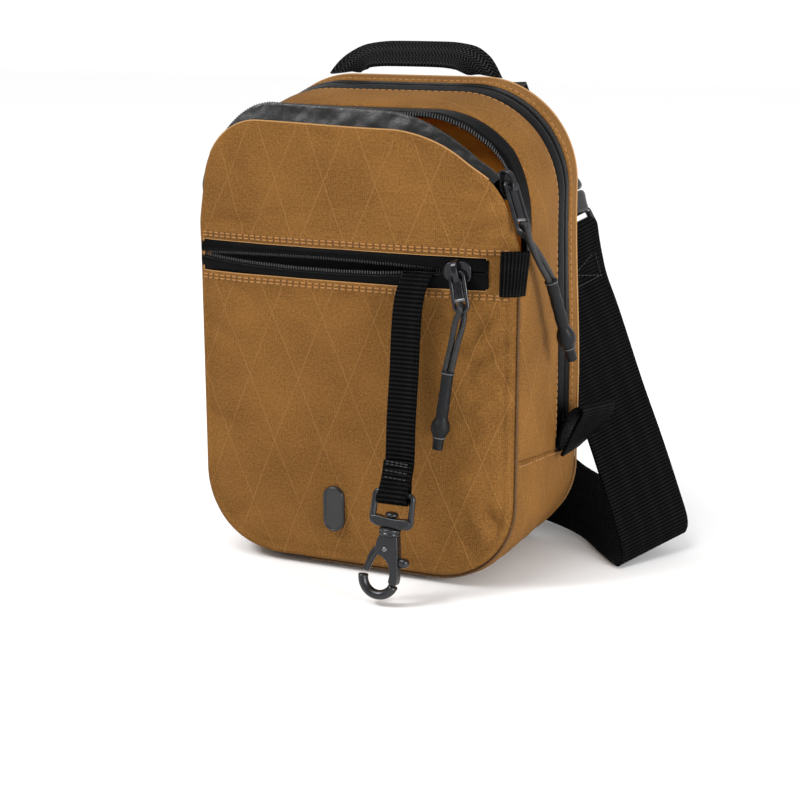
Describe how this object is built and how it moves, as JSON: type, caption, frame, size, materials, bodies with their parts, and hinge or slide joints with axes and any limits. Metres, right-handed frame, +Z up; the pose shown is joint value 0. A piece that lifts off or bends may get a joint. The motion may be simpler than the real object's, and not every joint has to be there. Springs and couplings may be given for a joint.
{
  "type": "sling bag",
  "caption": "Small upright sling bag with a zipped front compartment left open, a key pocket with a leash clip, a grab handle, and a buckled webbing shoulder strap.",
  "frame": {"origin": "centre of the flat base the bag stands on", "axes": "+X to the wearer's view of the front's right, +Y to the back panel, +Z up"},
  "size_m": [0.2013, 0.1546, 0.2116],
  "materials": {
    "tan_fabric": "laminated tan pack cloth with a raised diamond thread pattern",
    "orange_lining": "thin smooth orange lining cloth",
    "back_mesh": "black padded mesh",
    "black_webbing": "ribbed black nylon webbing",
    "coated_tape": "smooth coated black zip tape",
    "zip_coil": "black nylon coil",
    "gunmetal": "satin gunmetal",
    "black_cord": "thin glossy black cord",
    "shrink_sleeve": "matte dark grey shrink sleeve",
    "badge_rubber": "plain black rubber",
    "buckle_plastic": "glossy black moulded plastic",
    "foam": "thin grey foam sheet"
  },
  "bodies": {
    "bag": {"back_panel": "tan_fabric", "rear_gusset": "tan_fabric", "front_gusset": "tan_fabric", "bottom_gusset": "tan_fabric", "front_panel": "tan_fabric", "back_pad": "back_mesh", "back_foam": "foam", "main_lining": "orange_lining", "front_lining": "orange_lining", "divider_panel": "orange_lining", "pocket_bag": "orange_lining", "main_zip_tape_front": "coated_tape", "main_zip_tape_rear": "coated_tape", "rim_zip_tape": "coated_tape", "pocket_zip_tape_upper": "coated_tape", "pocket_zip_tape_lower": "coated_tape", "main_zip_coil_front": "zip_coil", "main_zip_coil_rear": "zip_coil", "rim_zip_coil": "zip_coil", "pocket_zip_coil_upper": "zip_coil", "pocket_zip_coil_lower": "zip_coil", "side_loop": "black_webbing", "corner_loop": "black_webbing", "badge": "badge_rubber", "leash_anchor": "black_webbing", "strap_anchor": "black_webbing", "strap_webbing": "black_webbing", "lower_anchor": "black_webbing", "buckle_female": "buckle_plastic", "triglide": "buckle_plastic", "lower_ring": "buckle_plastic"},
    "flap": {"front_flap": "tan_fabric", "flap_zip_tape": "coated_tape", "flap_zip_coil": "zip_coil"},
    "front_slider": {"front_zip_slider": "gunmetal"},
    "front_pull": {"front_pull_ring": "gunmetal", "front_pull_cord": "black_cord", "front_pull_sleeve": "shrink_sleeve"},
    "pocket_slider": {"pocket_zip_slider": "gunmetal"},
    "pocket_pull": {"pocket_pull_ring": "gunmetal", "pocket_pull_cord": "black_cord", "pocket_pull_sleeve": "shrink_sleeve"},
    "main_slider": {"main_zip_slider": "gunmetal"},
    "main_pull": {"main_pull_ring": "gunmetal", "main_pull_cord": "black_cord", "main_pull_sleeve": "shrink_sleeve"},
    "handle": {"grab_handle": "black_webbing"},
    "leash": {"leash_webbing": "black_webbing", "leash_swivel": "gunmetal"},
    "hook": {"hook_body": "gunmetal", "gate_pin": "gunmetal", "gate_spring": "gunmetal"},
    "gate": {"hook_gate": "gunmetal"},
    "buckle_insert": {"buckle_male": "buckle_plastic"}
  },
  "joints": [
    {"name": "flap_tilt", "type": "hinge", "parent": "bag", "child": "flap", "pos_m": [-0.069, -0.0408, 0.141], "axis": [0.9878, 0, 0.1556], "range_deg": [0, 30], "stiffness_Nm_per_rad": 0.05},
    {"name": "front_zip_slide", "type": "slide", "parent": "bag", "child": "front_slider", "axis": [0.3597, -0.1599, -0.9193], "range_m": [0, 0.003]},
    {"name": "front_pull_swing", "type": "hinge", "parent": "front_slider", "child": "front_pull", "pos_m": [0.06334, -0.0312, 0.16351], "axis": [-0.5096, -0.8598, 0.0325], "range_deg": [0, 70]},
    {"name": "pocket_zip_slide", "type": "slide", "parent": "bag", "child": "pocket_slider", "axis": [0.9964, 0.0847, 0], "range_m": [-0.002, 0.003]},
    {"name": "pocket_pull_swing", "type": "hinge", "parent": "pocket_slider", "child": "pocket_pull", "pos_m": [0.0463, -0.04269, 0.12937], "axis": [-0.9746, 0, -0.2241], "range_deg": [0, 80]},
    {"name": "main_zip_slide", "type": "slide", "parent": "bag", "child": "main_slider", "axis": [0, 0, 1], "range_m": [0, 0.04]},
    {"name": "main_pull_swing", "type": "hinge", "parent": "main_slider", "child": "main_pull", "pos_m": [-0.0749, 0.0185, 0.106], "axis": [0, 1, 0], "range_deg": [0, 80]},
    {"name": "handle_swing", "type": "hinge", "parent": "bag", "child": "handle", "pos_m": [-0.004, 0.0373, 0.1996], "axis": [1, 0, 0], "range_deg": [-30, 30], "stiffness_Nm_per_rad": 0.03},
    {"name": "leash_swing", "type": "hinge", "parent": "bag", "child": "leash", "pos_m": [0.0306, -0.0412, 0.128], "axis": [-1, 0, 0], "range_deg": [0, 75]},
    {"name": "hook_swivel", "type": "hinge", "parent": "leash", "child": "hook", "pos_m": [0.0286, -0.0616, 0.0434], "axis": [-0.0602, -0.1706, -0.9835], "continuous": true},
    {"name": "hook_gate_swing", "type": "hinge", "parent": "hook", "child": "gate", "pos_m": [0.02684, -0.06518, 0.02278], "axis": [0.0104, -0.9853, 0.1703], "range_deg": [0, 20], "stiffness_Nm_per_rad": 0.02, "springref_deg": -17.19},
    {"name": "buckle_release", "type": "slide", "parent": "bag", "child": "buckle_insert", "axis": [0.4907, 0, -0.8713], "range_m": [0, 0.02], "deforming": ["strap_webbing"]}
  ]
}
